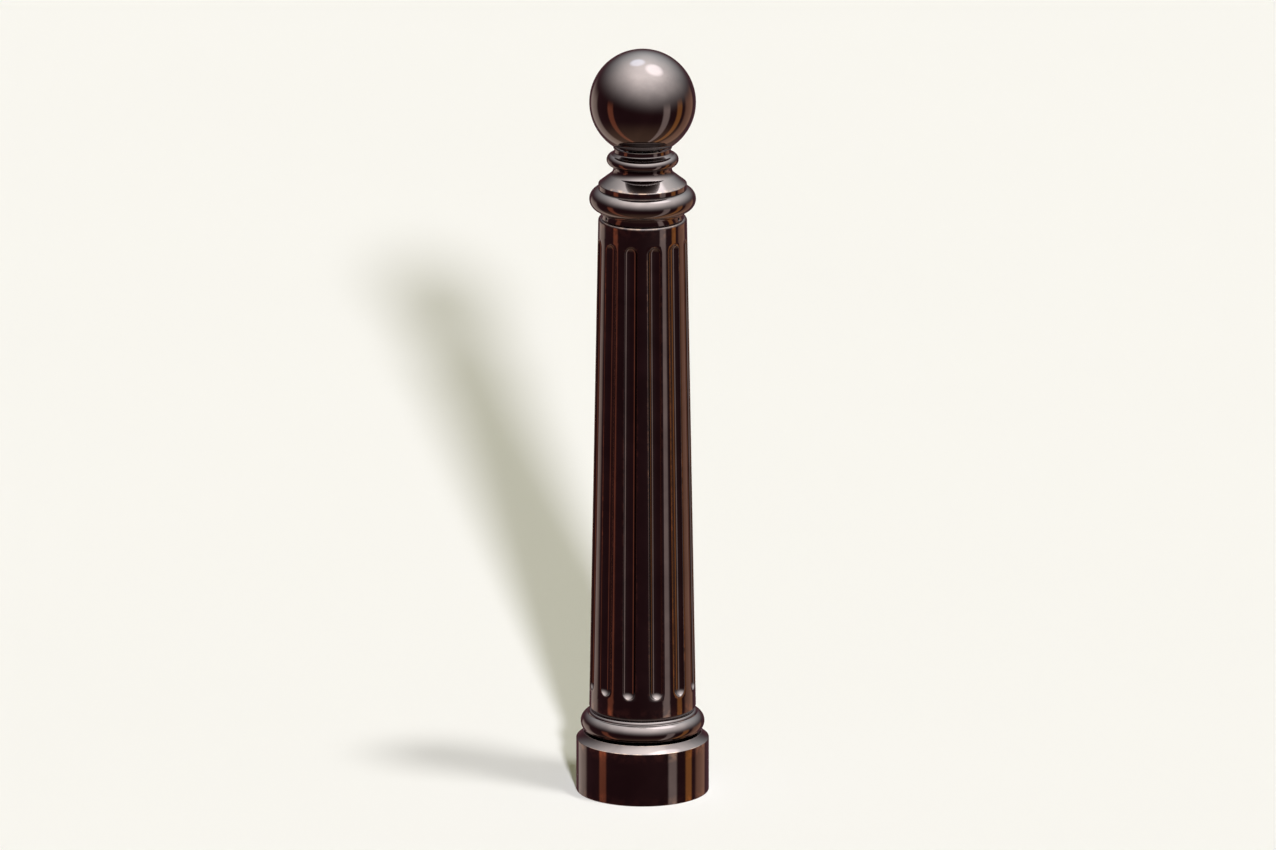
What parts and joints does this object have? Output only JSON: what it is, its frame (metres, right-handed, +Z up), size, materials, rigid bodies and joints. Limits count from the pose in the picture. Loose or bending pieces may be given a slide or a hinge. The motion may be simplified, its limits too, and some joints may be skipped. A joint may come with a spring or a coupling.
{
  "type": "safety bollard",
  "caption": "Ball-topped fluted column bollard: a slide-off cast cover clamped by the ball's tie rod over a steel post on a bolted foot plate.",
  "frame": {"origin": "centre of the round foot, on the ground", "axes": "+Z up along the column's axis; X and Y level, with an anchor hole on each diagonal"},
  "size_m": [0.174, 0.174, 1],
  "materials": {
    "dark_bronze_coat": "polished dark bronze, high gloss",
    "ball_coat": "polished dark bronze, high gloss",
    "post_zinc": "hot-dip galvanised",
    "weld": "galvanised weld metal",
    "zinc_fixings": "zinc plated",
    "stainless_fixings": "stainless steel",
    "black_fixings": "black oxide",
    "guide_plastic": "moulded nylon",
    "seal_rubber": "matt rubber",
    "boss_steel": "turned steel"
  },
  "bodies": {
    "post": {"foot_plate": "post_zinc", "core_pipe": "post_zinc", "gussets": "post_zinc", "weld_beads": "weld", "head_plate": "post_zinc", "head_nut": "zinc_fixings", "lower_centring_ring": "guide_plastic", "upper_centring_ring": "guide_plastic", "ring_screws": "stainless_fixings"},
    "cover": {"plinth": "dark_bronze_coat", "base_ring": "dark_bronze_coat", "fluted_shaft": "dark_bronze_coat", "capital_ring": "dark_bronze_coat", "neck_collar": "dark_bronze_coat", "foot_screws": "stainless_fixings", "foot_washers": "stainless_fixings", "collar_screws": "stainless_fixings", "grub_screws": "black_fixings"},
    "seal": {"finial_seal": "seal_rubber"},
    "ball": {"ball_shell": "ball_coat", "ball_boss": "boss_steel", "tie_rod": "stainless_fixings", "lock_nut": "stainless_fixings", "stop_nuts": "stainless_fixings"}
  },
  "joints": [
    {"name": "cover_lift", "type": "slide", "parent": "post", "child": "cover", "axis": [0, 0, 1], "range_m": [0, 0.8]},
    {"name": "ball_rise", "type": "slide", "parent": "cover", "child": "seal", "axis": [0, 0, 1], "range_m": [0, 0.016]},
    {"name": "ball_turn", "type": "hinge", "parent": "seal", "child": "ball", "pos_m": [0, 0, 0.8735], "axis": [0, 0, 1], "range_deg": [0, 2880]}
  ],
  "couplings": [
    {"joint": "ball_rise", "follows": "ball_turn", "m_per_rad": 0.00031831}
  ]
}
